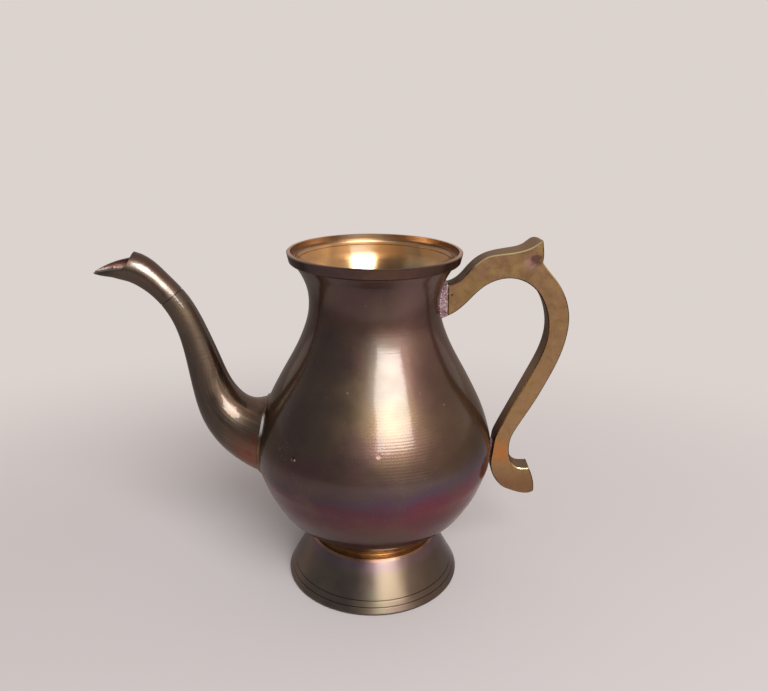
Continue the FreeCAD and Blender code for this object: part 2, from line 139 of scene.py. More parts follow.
def add_node(tree, kind, inputs=None, stops=None, output=None, **settings):
    """Adds a node with its settings, inputs and colour stops, and gives back one output.

    An input is a number, a vector, a hex colour or another node's output. A Map Range takes them
    by number: 0 is the value, 1 and 2 are where it starts and ends, 3 and 4 what comes out there.
    """
    node = tree.nodes.new(kind)
    for name, value in settings.items():
        setattr(node, name, value)
    for place, (share, colour) in enumerate(stops or ()):
        ramp = node.color_ramp.elements
        element = ramp[place] if place < 2 else ramp.new(share)
        element.position = share
        element.color = hex_colour(colour)
    for socket, value in (inputs or {}).items():
        if isinstance(value, bpy.types.NodeSocket):
            tree.links.new(value, node.inputs[socket])
            continue
        if isinstance(value, str):
            value = hex_colour(value)
        node.inputs[socket].default_value = value
    if output:
        return node.outputs[output]
    return next((socket for socket in node.outputs if socket.enabled), None)


def new_material(name):
    """An empty material and its node tree."""
    material = bpy.data.materials.new(name)
    material.use_nodes = True
    material.node_tree.nodes.clear()
    return material, material.node_tree


def new_object(name, data):
    """Adds an object to the scene."""
    thing = bpy.data.objects.new(name, data)
    bpy.context.scene.collection.objects.link(thing)
    return thing


def surface(tree):
    """What the finishes follow: place, height, distance from the axis, and which way it faces."""
    coords = add_node(tree, "ShaderNodeTexCoord", output="Object")
    x = add_node(tree, "ShaderNodeSeparateXYZ", {"Vector": coords})
    inputs = {0: coords, 1: (1, 1, 0)}
    flat = add_node(tree, "ShaderNodeVectorMath", inputs, operation="MULTIPLY")
    radius = add_node(tree, "ShaderNodeVectorMath", {0: flat}, operation="LENGTH")
    away = add_node(tree, "ShaderNodeVectorMath", {0: flat}, operation="NORMALIZE")
    normal = add_node(tree, "ShaderNodeNewGeometry", output="Normal")
    inputs = {0: normal, 1: away}
    outward = add_node(tree, "ShaderNodeVectorMath", inputs, operation="DOT_PRODUCT")
    facing = add_node(tree, "ShaderNodeSeparateXYZ", {"Vector": normal}).node.outputs
    return SimpleNamespace(coords=coords, x=x, y=x.node.outputs["Y"], z=x.node.outputs["Z"],
                           radius=radius, outward=outward, across=facing["Y"], up=facing["Z"])


def product(tree, share, *patterns):
    """All the patterns and the share multiplied together."""
    for pattern in patterns:
        share = add_node(tree, "ShaderNodeMath", {0: pattern, 1: share}, operation="MULTIPLY")
    return share


def layered(tree, colour, layers):
    """Lays colours over a first one. A layer is its colour, how much shows, and its patterns."""
    for over, share, *patterns in layers:
        inputs = {"Factor": product(tree, share, *patterns), "A": colour, "B": over}
        colour = add_node(tree, "ShaderNodeMix", inputs, data_type="RGBA")
    return colour


def relief(tree, layers):
    """A bumped normal. A layer is its depth in mm, less than zero to sink it, and its patterns."""
    normal = None
    for depth, *patterns in layers:
        height = product(tree, math.copysign(1, depth), *patterns)
        inputs = {"Height": height, "Distance": abs(depth) * MM}
        if normal:
            inputs["Normal"] = normal
        normal = add_node(tree, "ShaderNodeBump", inputs)
    return normal


def band(tree, value, low, high, soft_low, soft_high):
    """One between low and high, falling to zero over the soft distances outside."""
    limits = {0: value, 1: low - soft_low, 2: low}
    rise = add_node(tree, "ShaderNodeMapRange", limits, interpolation_type="SMOOTHSTEP")
    limits = {0: value, 1: high, 2: high + soft_high, 3: 1.0, 4: 0.0}
    fall = add_node(tree, "ShaderNodeMapRange", limits, interpolation_type="SMOOTHSTEP")
    return product(tree, rise, fall)


def cloud(tree, coords, size_mm, low=0.35, high=0.65, detail=3.0, to=(0, 1),
          stretch=(1, 1, 1), turn=0):
    """Soft noise in patches of about the given size, spread to run between two levels."""
    spread = {"Vector": coords, "Scale": stretch, "Rotation": (0, turn, 0)}
    spread = add_node(tree, "ShaderNodeMapping", spread)
    inputs = {"Vector": spread, "Scale": 1 / (size_mm * MM), "Detail": detail, "Roughness": 0.55}
    noise = add_node(tree, "ShaderNodeTexNoise", inputs)
    limits = {0: noise, 1: low, 2: high, 3: to[0], 4: to[1]}
    return add_node(tree, "ShaderNodeMapRange", limits)


def grain(tree, coords, size_mm):
    """Even small noise for a bumped surface."""
    return cloud(tree, coords, size_mm, low=0.3, high=0.7)


def spot(tree, coords, place_mm, size_mm, soft=0.5, ragged=0.0):
    """One within a round spot, falling to zero at its edge, which may be ragged."""
    place = tuple(value * MM for value in place_mm)
    far = add_node(tree, "ShaderNodeVectorMath", {0: coords, 1: place}, operation="DISTANCE")
    if ragged:
        wander = cloud(tree, coords, size_mm * 0.6, detail=4.0)
        inputs = {0: wander, 1: ragged * size_mm * MM, 2: far}
        far = add_node(tree, "ShaderNodeMath", inputs, operation="MULTIPLY_ADD")
    limits = {0: far, 1: size_mm * MM * (1 - soft), 2: size_mm * MM, 3: 1.0, 4: 0.0}
    return add_node(tree, "ShaderNodeMapRange", limits, interpolation_type="SMOOTHSTEP")


def turned_lines(tree, place, pitch_mm, lean):
    """Uneven fine lines round the axis, and the way that they follow up the wall.

    The lean is the wall's own slope, so that the lines keep their pitch.
    """
    along = {0: place.radius, 1: lean, 2: place.z}
    along = add_node(tree, "ShaderNodeMath", along, operation="MULTIPLY_ADD")
    inputs = {"W": along, "Scale": 1 / (pitch_mm * MM), "Detail": 1.5, "Roughness": 0.6}
    lines = add_node(tree, "ShaderNodeTexNoise", inputs, noise_dimensions="1D")
    return product(tree, lines, cloud(tree, place.coords, 11, detail=1.0, to=(0.35, 1))), along


def finish_metal(tree, colour, rough, normal, coat=0.0, coat_rough=0.15, skin="#ffffff"):
    """A metal, whose dark old skin, if any, keeps its glancing reflections from turning white."""
    inputs = {"Base Color": colour, "Roughness": rough, "Normal": normal, "Metallic": 1.0,
              "Specular Tint": skin}
    if coat:
        inputs.update({"Coat Weight": coat, "Coat Roughness": coat_rough, "Coat Normal": normal})
    shader = add_node(tree, "ShaderNodeBsdfPrincipled", inputs)
    add_node(tree, "ShaderNodeOutputMaterial", {"Surface": shader})


def heat_colours(tree, place):
    """The patina's colours by height. They waver, and lie higher on the handle's side."""
    drift = cloud(tree, place.coords, HEAT_WAVER_SIZE, to=(-HEAT_WAVER, HEAT_WAVER))
    level = add_node(tree, "ShaderNodeMath", {0: place.z, 1: drift}, operation="ADD")
    inputs = {0: place.x, 1: -HEAT_TILT, 2: level}
    level = add_node(tree, "ShaderNodeMath", inputs, operation="MULTIPLY_ADD")
    lowest, highest = PATINA_BY_HEIGHT[0][0], PATINA_BY_HEIGHT[-1][0]
    limits = {0: level, 1: SEAM_HEIGHT + lowest * MM, 2: SEAM_HEIGHT + highest * MM}
    share = add_node(tree, "ShaderNodeMapRange", limits)
    stops = [((height - lowest) / (highest - lowest), colour)
             for height, colour in PATINA_BY_HEIGHT]
    return add_node(tree, "ShaderNodeValToRGB", {"Fac": share}, stops)


def inner_gold(tree, place, under_rim):
    """The yellow brass inside the body, with painted shade in two bands, behind and to the left,
    and under the rim, and painted reflection paler on the side walls.
    """
    shade_band_behind = band(tree, place.x, 2 * MM, 9 * MM, 4 * MM, 5 * MM)
    shade_band_left = band(tree, place.x, -17 * MM, -11 * MM, 3 * MM, 3 * MM)
    from_middle = add_node(tree, "ShaderNodeMath", {0: place.x}, operation="ABSOLUTE")
    sheen_on_side_walls = band(tree, from_middle, 19 * MM, 26 * MM, 3 * MM, 3 * MM)
    return layered(tree, "#cfa370", [
        ("#e2bd8c", 1.0, cloud(tree, place.coords, 12)),
        ("#b97f42", 0.5, cloud(tree, place.coords, 7, 0.52, 0.66)),
        ("#86623e", 0.85, under_rim),
        ("#86592e", 0.75, shade_band_behind),
        ("#8e6438", 0.5, shade_band_left),
        ("#f0b878", 0.28, sheen_on_side_walls),
    ])


def body_relief(tree, place, pits):
    """Turned lines, a ripple above the seam, slow waves in the wall, and the pits."""
    # lines about a millimetre apart; the real ones are finer than the picture can show
    above, along = turned_lines(tree, place, LINE_PITCH, lean=-WALL_SLOPE)
    below, _ = turned_lines(tree, place, LINE_PITCH, lean=WALL_SLOPE)
    limits = {0: place.z, 1: SEAM_HEIGHT - 1 * MM, 2: SEAM_HEIGHT + 1 * MM}
    on_shoulder = add_node(tree, "ShaderNodeMapRange", limits)
    lines = add_node(tree, "ShaderNodeMix", {"Factor": on_shoulder, "A": below, "B": above})
    # a regular ripple of the same lathe, on the side of the light
    turns = product(tree, along, 2 * math.pi / (RIPPLE_PITCH * MM))
    ripple = add_node(tree, "ShaderNodeMath", {0: turns}, operation="SINE")
    rippled = band(tree, place.z, SEAM_HEIGHT + 6 * MM, SEAM_HEIGHT + 24 * MM, 6 * MM, 10 * MM)
    limits = {0: place.x, 1: -6 * MM, 2: 8 * MM}
    on_right = add_node(tree, "ShaderNodeMapRange", limits, interpolation_type="SMOOTHSTEP")
    return relief(tree, [
        (0.002, grain(tree, place.coords, 0.9)),
        (0.06, cloud(tree, place.coords, 14, 0.3, 0.7, detail=1.0)),
        (0.014, lines),
        (0.0035, ripple, rippled, on_right),
        (-0.03, pits),
    ])


def spun_brass_body():
    """Spun brass, darkened by heat and age. The eye sees a brown satin skin, in it a sharp pale
    window, fine turned lines, violet and crimson heat colours round the seam, and gold inside."""
    material, tree = new_material("spun_brass_heat_darkened")
    place = surface(tree)
    coords = place.coords
    # the heat colours are strongest on the handle's side and pale towards the spout
    limits = {0: place.x, 1: -55 * MM, 2: 20 * MM, 3: 0.8, 4: 1.0}
    strength = add_node(tree, "ShaderNodeMapRange", limits)
    pits = 0.0
    for centre, size in BODY_PITS:
        pit = spot(tree, coords, centre, size, soft=0.6)
        pits = add_node(tree, "ShaderNodeMath", {0: pit, 1: pits}, operation="ADD")
    inside = add_node(tree, "ShaderNodeMath", {0: place.outward, 1: 0.0}, operation="LESS_THAN")
    # painted shade: the inner wall under the rim is darker, as well as rougher
    limits = {0: place.z, 1: RIM_TOP - 9 * MM, 2: RIM_TOP - 6 * MM}
    under_rim = add_node(tree, "ShaderNodeMapRange", limits)
    # painted shade: the side away from the light is darker
    painted_shade_left = add_node(tree, "ShaderNodeMapRange", {0: place.x, 1: -6 * MM, 2: -34 * MM})
    # painted shade low on the left; the crimson heat colour there is darkened with it
    painted_shade_low_left = product(
        tree,
        add_node(tree, "ShaderNodeMapRange", {0: place.x, 1: 10 * MM, 2: -14 * MM}),
        add_node(tree, "ShaderNodeMapRange", {0: place.z, 1: 70 * MM, 2: 54 * MM}),
    )
    crimson_height = band(tree, place.z, 42 * MM, 49 * MM, 8 * MM, 4 * MM)
    neck_front = product(
        tree,
        band(tree, place.x, 0.0, 9 * MM, 5 * MM, 5 * MM),
        band(tree, place.z, *NECK, 8 * MM, 6 * MM),
    )
    # painted sheen: a paler band on the neck, right of the middle
    neck_right_sheen = product(
        tree,
        add_node(tree, "ShaderNodeMapRange", {0: place.z, 1: NECK[0], 2: NECK[1]}),
        band(tree, place.x, 12 * MM, 26 * MM, 8 * MM, 4 * MM),
    )
    beside_window = product(
        tree,
        band(tree, place.x, 16 * MM, 27 * MM, 6 * MM, 6 * MM),
        band(tree, place.z, 66 * MM, 98 * MM, 6 * MM, 8 * MM),
    )
    # painted reflection: the faces turned sideways, right of the middle, a little paler
    lightened = product(
        tree,
        band(tree, place.across, -0.1, 0.0, 0.3, 0.5),
        add_node(tree, "ShaderNodeMapRange", {0: place.x, 1: 0.0, 2: 12 * MM}),
    )
    scratched = product(
        tree,
        cloud(tree, coords, 1.3, 0.58, 0.66, stretch=(1, 1, 3), turn=math.radians(45)),
        spot(tree, coords, SCRATCHES, 4.5, soft=0.6),
    )
    colour = layered(tree, "#574339", [
        (heat_colours(tree, place), 1.0, strength),
        ("#443038", 0.6, painted_shade_left),
        ("#3b2a30", 0.6, painted_shade_low_left),
        ("#5a2632", 0.6, painted_shade_low_left, crimson_height),
        ("#65553c", 0.4, cloud(tree, coords, 24, 0.45, 0.62)),
        ("#573540", 0.35, cloud(tree, coords, 17, 0.5, 0.68)),
        ("#6a5f44", 0.5, spot(tree, coords, OLIVE_STAIN, 7, soft=0.9, ragged=0.3)),
        ("#565048", 0.6, neck_front),
        ("#4a302f", 0.35, beside_window),
        ("#7a5a49", 0.35, cloud(tree, coords, 1.7, 0.66, 0.74, detail=2.0)),
        ("#8c6c5c", 0.45, lightened),
        ("#80605a", 0.5, neck_right_sheen),
        ("#8d7f80", 0.6, scratched),
        ("#957568", 0.65, pits),
        ("#1e1a1c", 0.8, spot(tree, coords, DARK_PIT, 1.2, ragged=0.4)),
        ("#e8e0dc", 0.9, spot(tree, coords, PALE_FLECK, 0.45, soft=0.4)),
        (inner_gold(tree, place, under_rim), 1.0, inside),
    ])
    rough = cloud(tree, coords, 9, to=(0.36, 0.44))
    rough_inside = add_node(tree, "ShaderNodeMapRange", {0: under_rim, 3: 0.22, 4: 0.58})
    rough = add_node(tree, "ShaderNodeMix", {"Factor": inside, "A": rough, "B": rough_inside})
    normal = body_relief(tree, place, pits)
    finish_metal(tree, colour, rough, normal, coat=0.6, coat_rough=0.12, skin="#c8bcb4")
    return material


def turned_rim_brass():
    """Turned brass, handled for years. The outside of the band is nearly black, the top edge is
    worn to brown, and the step inside keeps the yellow of the brass."""
    material, tree = new_material("turned_brass_rim")
    place = surface(tree)
    coords = place.coords
    inner = add_node(tree, "ShaderNodeMapRange", {0: place.outward, 1: 0.1, 2: -0.4})
    top = add_node(tree, "ShaderNodeMapRange", {0: place.up, 1: 0.5, 2: 0.95})
    gold = layered(tree, "#957a5e", [
        ("#a48c70", 1.0, cloud(tree, coords, 8, 0.45, 0.65)),
        # painted highlight at the back of the inner step
        ("#dcc49c", 0.65, spot(tree, coords, RIM_HIGHLIGHT_SPOT, 15, soft=0.8)),
    ])
    # the top edge is paler towards the sides and the back than in front
    lightened = add_node(tree, "ShaderNodeMapRange", {0: place.y, 1: -29 * MM, 2: -8 * MM})
    worn = layered(tree, "#32231c", [
        ("#3d2b22", 1.0, cloud(tree, coords, 10)),
        ("#cfb3a4", 1.0, lightened),
    ])
    # painted shade: the band's left side, away from the light, darker and cooler
    painted_shade_left = add_node(tree, "ShaderNodeMapRange", {0: place.x, 1: -4 * MM, 2: -26 * MM})
    colour = layered(tree, "#4f3c38", [
        ("#5e4438", 1.0, cloud(tree, coords, 13)),
        ("#6d4f3b", 0.5, cloud(tree, coords, 5, 0.5, 0.7)),
        ("#4c4650", 0.7, painted_shade_left),
        (gold, 1.0, inner),
        (worn, 1.0, top),
    ])
    lines, _ = turned_lines(tree, place, pitch_mm=0.7, lean=1.0)
    rough = add_node(tree, "ShaderNodeMapRange", {0: lines, 1: 0.1, 2: 0.6, 3: 0.27, 4: 0.38})
    normal = relief(tree, [(0.003, grain(tree, coords, 0.8)), (0.01, lines)])
    finish_metal(tree, colour, rough, normal, coat=0.15, skin="#d0c4bc")
    return material


def turned_foot_brass():
    """Turned brass under a dark patina. The flat top, where the bowl sits, was heated to orange
    gold and keeps the marks of the lathe."""
    material, tree = new_material("turned_brass_foot")
    place = surface(tree)
    coords = place.coords
    # a violet bloom just under the top edge
    bloom = band(tree, place.z, FOOT_TOP - 2.5 * MM, FOOT_TOP - 0.5 * MM, 3 * MM, 0.5 * MM)
    on_top = add_node(tree, "ShaderNodeMapRange", {0: place.up, 1: 0.6, 2: 0.9})
    gold = layered(tree, "#8e5526", [("#a67440", 1.0, cloud(tree, coords, 7))])
    above_lines = add_node(tree, "ShaderNodeMapRange", {0: place.z, 1: 1 * MM, 2: 6 * MM})
    # painted highlight: paler metal on the skirt where the window reflects
    painted_highlight_band = band(tree, place.x, 5 * MM, 11 * MM, 5 * MM, 4 * MM)
    on_right = add_node(tree, "ShaderNodeMapRange", {0: place.x, 1: 13 * MM, 2: 21 * MM})
    colour = layered(tree, "#5f4e44", [
        ("#68584a", 1.0, cloud(tree, coords, 16)),
        ("#5f5b44", 0.6, cloud(tree, coords, 9, 0.5, 0.68)),
        ("#80705a", 0.6, above_lines, painted_highlight_band),
        ("#45372f", 0.6, on_right),
        ("#75566a", 0.4, bloom),
        (gold, 1.0, on_top),
    ])
    rough = cloud(tree, coords, 8, to=(0.29, 0.37))
    rough = add_node(tree, "ShaderNodeMix", {"Factor": on_top, "A": rough, "B": 0.22})
    lines, _ = turned_lines(tree, place, pitch_mm=0.8, lean=-0.6)
    normal = relief(tree, [(0.003, grain(tree, coords, 0.8)), (0.012, lines)])
    finish_metal(tree, colour, rough, normal, coat=0.7, coat_rough=0.2, skin="#968981")
    return material


def filed_spout_brass():
    """Brass tube, dressed by hand with a file and emery. The eye sees brown olive satin, ripples
    across the upper length, golden lines along the first bend and a red stain under the root."""
    material, tree = new_material("hand_filed_brass_spout")
    place = surface(tree)
    coords = place.coords
    # file strokes that follow the first bend round its centre
    inputs = {0: coords, 1: (1, 0, 1)}
    in_plane = add_node(tree, "ShaderNodeVectorMath", inputs, operation="MULTIPLY")
    inputs = {0: in_plane, 1: SPOUT_BEND}
    out = add_node(tree, "ShaderNodeVectorMath", inputs, operation="DISTANCE")
    inputs = {"W": out, "Scale": 1 / STROKE_PITCH, "Detail": 2.0, "Roughness": 0.7}
    strokes = add_node(tree, "ShaderNodeTexNoise", inputs, noise_dimensions="1D")
    golden = add_node(tree, "ShaderNodeMapRange", {0: strokes, 1: 0.5, 2: 0.66})
    at_bend = add_node(tree, "ShaderNodeMapRange", {0: place.z, 1: 92 * MM, 2: 74 * MM})
    patchy = cloud(tree, coords, 8, detail=1.0)
    # the root, by the body
    low = add_node(tree, "ShaderNodeMapRange", {0: place.z, 1: 66 * MM, 2: 54 * MM})
    near_body = add_node(tree, "ShaderNodeMapRange", {0: place.x, 1: -56 * MM, 2: -48 * MM})
    # the beak above the hairline joint, its two cheeks, the ridge between them and the mouth
    inputs = {0: coords, 1: SPOUT_RUN}
    along = add_node(tree, "ShaderNodeVectorMath", inputs, operation="DOT_PRODUCT",
                     output="Value")
    limits = {0: along, 1: JOINT_ALONG, 2: JOINT_ALONG + JOINT_WIDTH}
    beak = add_node(tree, "ShaderNodeMapRange", limits)
    hairline = band(tree, along, JOINT_ALONG, JOINT_ALONG, JOINT_WIDTH, JOINT_WIDTH)
    mouth = band(tree, place.x, SPOUT_TIP, SPOUT_TIP + 13 * MM, 1 * MM, 3 * MM)
    facing_up = add_node(tree, "ShaderNodeMapRange", {0: place.up, 1: 0.2, 2: 0.5})
    flatness = add_node(tree, "ShaderNodeMath", {0: place.across}, operation="ABSOLUTE")
    # painted highlight: the beak's cheeks paler where the window reflects
    cheek_highlight = product(
        tree,
        add_node(tree, "ShaderNodeMapRange", {0: flatness, 1: 0.6, 2: 0.85}),
        add_node(tree, "ShaderNodeMapRange", {0: place.up, 1: 0.05, 2: 0.35}),
    )
    ridge = add_node(tree, "ShaderNodeMapRange", {0: flatness, 1: 0.8, 2: 0.6})
    ridge = product(tree, ridge, facing_up)
    # a wall that faces the spout's middle plane is the inside of the bore
    inwards = product(tree, place.y, place.across)
    bore = add_node(tree, "ShaderNodeMath", {0: inwards, 1: 0.0}, operation="LESS_THAN")
    # painted shade: darker just behind the first bend
    shade_behind_bend = band(tree, place.x, -66 * MM, -57 * MM, 5 * MM, 3 * MM)
    colour = layered(tree, "#4e4137", [
        ("#57493b", 1.0, cloud(tree, coords, 14)),
        ("#5a4037", 0.5, cloud(tree, coords, 6, 0.48, 0.66)),
        ("#94805a", 0.4, golden, at_bend, patchy),
        ("#7f452c", 0.8, low, near_body),
        ("#6d3524", 0.6, near_body, cloud(tree, coords, 3.5, 0.55, 0.66)),
        ("#3c3029", 0.5, at_bend, shade_behind_bend),
        ("#857468", 0.85, beak, cheek_highlight),
        ("#5b423a", 0.8, beak, ridge),
        ("#4c3e36", 0.5, beak, cloud(tree, coords, 1.8, 0.5, 0.68)),
        ("#7d5648", 0.9, mouth, bore),
        # painted shade: the upward faces inside the mouth dark
        ("#33231d", 0.9, mouth, facing_up),
        # painted shade round the spout's tip
        ("#2e221c", 0.8, spot(tree, coords, SHADED_SPOUT_TIP, 8, soft=0.8)),
        ("#6d4636", 0.5, at_bend, ridge, cloud(tree, coords, 3, 0.45, 0.6)),
        ("#241b18", 0.9, hairline),
    ])
    # file strokes across the tube, between the hairline and the bend
    across = cloud(tree, coords, 4.5, 0.3, 0.7, detail=2.0, stretch=(1, 1, 4), turn=-SPOUT_LEAN)
    upper_length = band(tree, place.z, 92 * MM, 114 * MM, 10 * MM, 4 * MM)
    normal = relief(tree, [
        (0.004, grain(tree, coords, 1.0)),
        (0.04, cloud(tree, coords, 6, 0.3, 0.7, detail=1.0)),
        (0.02, across, upper_length),
        (0.02, strokes, at_bend, patchy),
        (0.02, grain(tree, coords, 2.2), beak),
        (0.02, grain(tree, coords, 0.9), mouth),
    ])
    # dull where the file left it, smooth on the beak and where fingers rub the bend
    dull = band(tree, place.x, -73 * MM, -62 * MM, 2 * MM, 3 * MM)
    rough = cloud(tree, coords, 5, to=(0.34, 0.44))
    for less_shiny in (dull, product(tree, mouth, facing_up), product(tree, mouth, bore)):
        rough = add_node(tree, "ShaderNodeMix", {"Factor": less_shiny, "A": rough, "B": 0.55})
    finish_metal(tree, colour, rough, normal, coat=0.6, coat_rough=0.08, skin="#b5a8a0")
    return material


def cast_handle_brass():
    """Cast brass, filed flat and left unpolished. The faces are a mottled yellow brown with
    orange and pinkish stains, the edges of the bar are dark, with painted shade where it meets
    the neck and painted sheen on its upward edges, and the filed bevels that face up carry a
    painted highlight."""
    material, tree = new_material("cast_brass_handle_filed")
    place = surface(tree)
    coords = place.coords
    flatness = add_node(tree, "ShaderNodeMath", {0: place.across}, operation="ABSOLUTE")
    edge = add_node(tree, "ShaderNodeMapRange", {0: flatness, 1: 0.55, 2: 0.2})
    bevel = band(tree, flatness, 0.5, 0.8, 0.2, 0.15)
    facing_up = add_node(tree, "ShaderNodeMapRange", {0: place.up, 1: 0.25, 2: 0.5})
    curl = add_node(tree, "ShaderNodeMapRange", {0: place.z, 1: 47 * MM, 2: 40 * MM})
    lower = add_node(tree, "ShaderNodeMapRange", {0: place.z, 1: 100 * MM, 2: 75 * MM})
    on_thumb_rest = product(
        tree,
        add_node(tree, "ShaderNodeMapRange", {0: place.x, 1: 34 * MM, 2: 46 * MM}),
        add_node(tree, "ShaderNodeMapRange", {0: place.z, 1: 20 * MM, 2: 80 * MM}),
    )
    # painted shade on the bar's edges where it meets the neck
    shade_near_neck = product(
        tree,
        add_node(tree, "ShaderNodeMapRange", {0: place.x, 1: 42 * MM, 2: 30 * MM}),
        add_node(tree, "ShaderNodeMapRange", {0: place.z, 1: 95 * MM, 2: 105 * MM}),
    )
    dark = layered(tree, "#5c4a40", [
        ("#6d594c", 1.0, cloud(tree, coords, 7)),
        # painted sheen: the upward edges towards the thumb rest paler
        ("#8f7560", 1.0, facing_up, on_thumb_rest),
        ("#38251f", 0.75, shade_near_neck),
    ])
    colour = layered(tree, "#997953", [
        ("#8f6e54", 1.0, cloud(tree, coords, 9)),
        ("#a3825c", 0.7, lower),
        ("#967a4c", 0.7, cloud(tree, coords, 6, 0.5, 0.66)),
        ("#7c5b3e", 0.35, cloud(tree, coords, 2.2, 0.5, 0.7)),
        ("#6f5342", 0.3, cloud(tree, coords, 0.8, 0.58, 0.7)),
        ("#c07a42", 0.8, spot(tree, coords, ORANGE_STAIN, 9, soft=0.9, ragged=0.2)),
        ("#7d5740", 0.6, curl),
        ("#a98078", 0.7, spot(tree, coords, PINK_STAIN, 3.6, ragged=0.4)),
        ("#664742", 0.9, spot(tree, coords, BROWN_STAIN, 3.4, ragged=0.4)),
        ("#5c3f30", 1.0, spot(tree, coords, DARK_DOT, 0.7, soft=0.8)),
        (dark, 1.0, edge),
        ("#4a3526", 0.9, bevel),
        # painted highlight on the bevels that face up
        ("#d6c292", 1.0, bevel, facing_up),
    ])
    drawn = cloud(tree, coords, 2.4, 0.3, 0.7, stretch=(4, 1, 0.5), turn=math.radians(25))
    normal = relief(tree, [
        (0.006, grain(tree, coords, 0.9)),
        (0.01, drawn),
        (0.08, cloud(tree, coords, 9, 0.3, 0.7, detail=1.0)),
    ])
    rough = cloud(tree, coords, 4, to=(0.34, 0.46))
    rough = add_node(tree, "ShaderNodeMix", {"Factor": bevel, "A": rough, "B": 0.25})
    finish_metal(tree, colour, rough, normal, skin="#e8ded4")
    return material


def grey_solder():
    """Tin solder, set rough as it cooled. It is a pinkish grey, grainy and only half shiny."""
    material, tree = new_material("tin_solder_rough")
    coords = add_node(tree, "ShaderNodeTexCoord", output="Object")
    colour = layered(tree, "#8c6a6a", [
        ("#b29ea2", 1.0, cloud(tree, coords, 1.6)),
        ("#7a5a48", 0.5, cloud(tree, coords, 2.5, 0.5, 0.66)),
    ])
    rough = cloud(tree, coords, 1.2, to=(0.3, 0.55))
    finish_metal(tree, colour, rough, relief(tree, [(0.08, grain(tree, coords, 0.8))]))
    return material


def brazing_brass():
    """Brazing brass, run into the joint and rubbed bright. It is smoother and yellower than the
    spout, with a painted highlight at the spout's root, and orange gold round the foot with
    turned lines, lighter along the lines as a painted highlight."""
    material, tree = new_material("brazing_brass_fillet")
    place = surface(tree)
    coords = place.coords
    at_foot = add_node(tree, "ShaderNodeMapRange", {0: place.z, 1: 30 * MM, 2: 25 * MM})
    lines, _ = turned_lines(tree, place, pitch_mm=0.7, lean=-0.6)
    # the turned lines lighter gold: partly the lathe's marks, partly a painted highlight of the
    # lines catching the light
    line_highlight = add_node(tree, "ShaderNodeMapRange", {0: lines, 1: 0.35, 2: 0.55})
    gold = layered(tree, "#6a4428", [
        ("#855631", 1.0, cloud(tree, coords, 7)),
        ("#9c7242", 0.7, line_highlight),
    ])
    colour = layered(tree, "#5c4736", [
        ("#7d6248", 1.0, cloud(tree, coords, 5)),
        # painted highlight on the fillet at the spout's root
        ("#f3ece4", 0.9, spot(tree, coords, ROOT_HIGHLIGHT_SPOT, 7, ragged=0.3)),
        (gold, 1.0, at_foot),
    ])
    rough = cloud(tree, coords, 1.5, to=(0.32, 0.42))
    normal = relief(tree, [(0.01, grain(tree, coords, 1.2)), (0.03, lines, at_foot)])
    finish_metal(tree, colour, rough, normal)
    return material


def dress(part, material):
    """Puts one finish on one of the solids."""
    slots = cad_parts[part].data.materials
    slots.clear()
    slots.append(material)


def new_growth(name, numbers):
    """A node tree for a grown detail, and its inputs: the solid's surface and named numbers."""
    tree = bpy.data.node_groups.new(name, "GeometryNodeTree")
    for way in ("INPUT", "OUTPUT"):
        tree.interface.new_socket("Geometry", in_out=way, socket_type="NodeSocketGeometry")
    for title, value in numbers.items():
        kind = "NodeSocketInt" if isinstance(value, int) else "NodeSocketFloat"
        socket = tree.interface.new_socket(title, in_out="INPUT", socket_type=kind)
        socket.default_value = value
    return tree, add_node(tree, "NodeGroupInput", output="Geometry").node.outputs


def end_growth(tree, grown, material):
    """Turns the grown pieces into one smooth mesh of the given material."""
    smooth = add_node(tree, "GeometryNodeSetShadeSmooth", {"Geometry": grown})
    real = add_node(tree, "GeometryNodeRealizeInstances", {"Geometry": smooth})
    done = add_node(tree, "GeometryNodeSetMaterial", {"Geometry": real, "Material": material})
    add_node(tree, "NodeGroupOutput", {"Geometry": done})


def grains_tree(material):
    """Scatters small round grains over a surface, each of its own size."""
    tree, given = new_growth("solder_grains", {
        "Grains per square metre": 1.6e6,
        "Smallest": 0.11 * MM,
        "Largest": 0.32 * MM,
    })
    inputs = {"Mesh": given["Geometry"], "Density": given["Grains per square metre"], "Seed": 4}
    points = add_node(tree, "GeometryNodeDistributePointsOnFaces", inputs)
    sizes = {"Min": given["Smallest"], "Max": given["Largest"], "Seed": 9}
    size = add_node(tree, "FunctionNodeRandomValue", sizes, data_type="FLOAT")
    ball = add_node(tree, "GeometryNodeMeshIcoSphere", {"Radius": 1.0, "Subdivisions": 2})
    inputs = {"Points": points, "Instance": ball, "Scale": size,
              "Rotation": points.node.outputs["Rotation"]}
    grains = add_node(tree, "GeometryNodeInstanceOnPoints", inputs)
    end_growth(tree, grains, material)
    return tree


